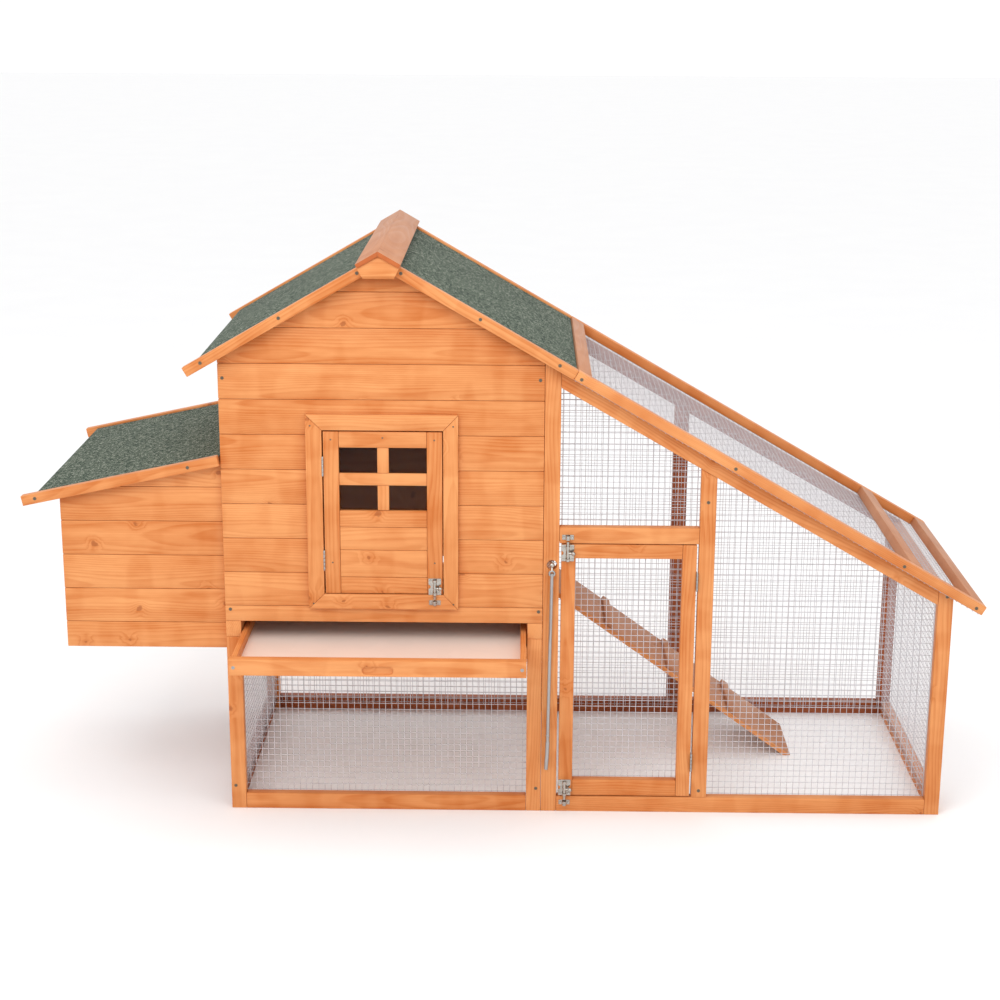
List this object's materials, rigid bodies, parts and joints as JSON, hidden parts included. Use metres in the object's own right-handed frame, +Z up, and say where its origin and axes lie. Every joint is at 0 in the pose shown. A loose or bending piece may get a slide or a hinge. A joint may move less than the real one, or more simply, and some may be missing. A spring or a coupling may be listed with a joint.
{
  "type": "chicken coop",
  "caption": "Small wooden hen house on legs with a side nest box, wire run under a long sloping roof, ramp, pull-out tray, latched doors and a sliding pop-hole door.",
  "frame": {"origin": "on the ground, under the middle of the coop's box with the tray pulled out as stored", "axes": "+X along the front from the nest box to the end of the run, +Y from the front to the back, +Z up"},
  "size_m": [1.9034, 0.793, 1.1562],
  "materials": {
    "stained_fir": "stained softwood board, satin, with grain and knots",
    "stained_fir_pale": "stained softwood board, paler and drier where it faces up",
    "stained_fir_inside": "stained softwood board, matt, inside the coop",
    "green_felt": "dark green mineral roofing felt, coarse and matt",
    "galvanised_wire": "galvanised welded wire mesh",
    "nickel": "bright nickel plate",
    "zinc": "zinc-plated steel",
    "clear_pane": "clear acrylic sheet"
  },
  "bodies": {
    "coop": {"post_front_left": "stained_fir", "post_front_inner": "stained_fir", "post_tall_front": "stained_fir", "post_mid_front": "stained_fir", "post_right_front": "stained_fir", "post_back_left": "stained_fir", "post_tall_back": "stained_fir", "post_mid_back": "stained_fir", "post_right_back": "stained_fir", "rail_front_house_base": "stained_fir", "rail_front_run_base": "stained_fir", "rail_front_run_mid": "stained_fir", "rail_front_slant": "stained_fir", "rail_back_base": "stained_fir", "rail_back_slant": "stained_fir", "rail_right_base": "stained_fir", "rail_right_top": "stained_fir", "rail_left_base": "stained_fir", "tray_support_frame": "stained_fir", "house_base_frame": "stained_fir", "wall_front": "stained_fir", "wall_back": "stained_fir", "wall_left": "stained_fir", "wall_right": "stained_fir", "door_trim": "stained_fir", "roof_rail_front": "stained_fir", "roof_rail_back": "stained_fir", "nest_wall_front": "stained_fir", "nest_wall_back": "stained_fir", "nest_wall_end": "stained_fir", "ridge_cap": "stained_fir_pale", "roof_cross_top": "stained_fir_pale", "roof_cross_low": "stained_fir_pale", "roof_cross_end": "stained_fir_pale", "nest_floor": "stained_fir_inside", "perch": "stained_fir_inside", "roof_panel_left": "green_felt", "roof_panel_right": "green_felt", "mesh_front_house": "galvanised_wire", "mesh_front_run": "galvanised_wire", "mesh_back": "galvanised_wire", "mesh_left": "galvanised_wire", "mesh_right": "galvanised_wire", "mesh_roof": "galvanised_wire"},
    "house_door": {"house_door": "stained_fir", "window_pane": "clear_pane", "house_latch_case": "nickel"},
    "house_latch": {"house_latch_bolt": "nickel"},
    "run_door": {"run_door_frame": "stained_fir", "mesh_run_door": "galvanised_wire", "run_latch_top_case": "nickel", "run_latch_low_case": "nickel"},
    "run_latch_top": {"run_latch_top_bolt": "nickel"},
    "run_latch_low": {"run_latch_low_bolt": "nickel"},
    "tray": {"tray_frame": "stained_fir", "tray_sheet": "zinc"},
    "nest_lid": {"nest_lid": "green_felt"},
    "pop_door": {"pop_door": "stained_fir_inside"},
    "pull_rod": {"pull_rod": "zinc"},
    "ramp": {"ramp": "stained_fir"}
  },
  "joints": [
    {"name": "house_door_hinge", "type": "hinge", "parent": "coop", "child": "house_door", "pos_m": [-0.35649, -0.2265, 0.634], "axis": [0, 0, -1], "range_deg": [0, 110]},
    {"name": "house_latch_slide", "type": "slide", "parent": "house_door", "child": "house_latch", "axis": [0, 0, -1], "range_m": [-0.0075, 0.0045]},
    {"name": "run_door_hinge", "type": "hinge", "parent": "coop", "child": "run_door", "pos_m": [0.38181, -0.2205, 0.304], "axis": [0, 0, 1], "range_deg": [0, 110]},
    {"name": "run_latch_top_slide", "type": "slide", "parent": "run_door", "child": "run_latch_top", "axis": [0, 0, 1], "range_m": [-0.0075, 0.0045]},
    {"name": "run_latch_low_slide", "type": "slide", "parent": "run_door", "child": "run_latch_low", "axis": [0, 0, -1], "range_m": [-0.0075, 0.0045]},
    {"name": "tray_slide", "type": "slide", "parent": "coop", "child": "tray", "axis": [0, -1, 0], "range_m": [-0.18, 0.2]},
    {"name": "nest_lid_hinge", "type": "hinge", "parent": "coop", "child": "nest_lid", "pos_m": [-0.56169, 0.0685, 0.748], "axis": [0, 1, 0], "range_deg": [0, 75]},
    {"name": "pop_door_slide", "type": "slide", "parent": "coop", "child": "pop_door", "axis": [0, 1, 0], "range_m": [0, 0.218]},
    {"name": "pull_rod_pivot", "type": "hinge", "parent": "coop", "child": "pull_rod", "pos_m": [0.09391, -0.2253, 0.514], "axis": [-1, 0, 0], "range_deg": [0, 90]},
    {"name": "ramp_hinge", "type": "hinge", "parent": "coop", "child": "ramp", "pos_m": [0.09031, 0.177, 0.39], "axis": [0, -1, 0], "range_deg": [0, 40]}
  ]
}
